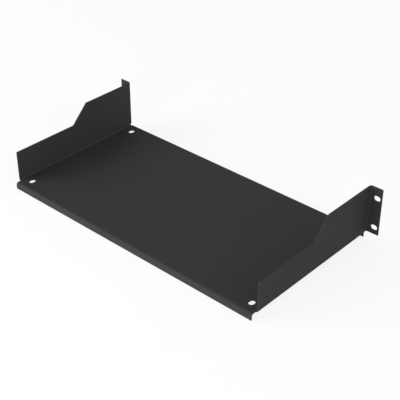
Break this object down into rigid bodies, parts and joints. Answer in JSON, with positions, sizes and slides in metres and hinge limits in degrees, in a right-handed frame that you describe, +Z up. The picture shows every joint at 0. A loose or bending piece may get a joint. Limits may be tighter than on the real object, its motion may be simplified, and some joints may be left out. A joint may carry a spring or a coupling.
{
  "type": "rack shelf",
  "caption": "Rack shelf folded from one steel sheet: a flat tray with turned-down lips, side walls that step down at a slope, and slotted ears that bolt to the front rails of a rack.",
  "frame": {"origin": "centre of the four ear slots, on the rear faces of the ears, which meet the rack's front rails", "axes": "+X to the right of someone in front of the rack, +Y back into the rack, +Z up"},
  "size_m": [0.4796, 0.2346, 0.0824],
  "materials": {
    "powder_coated_steel": "satin charcoal powder coat, finely textured"
  },
  "bodies": {
    "root": {"rack_shelf": "powder_coated_steel"}
  },
  "joints": []
}
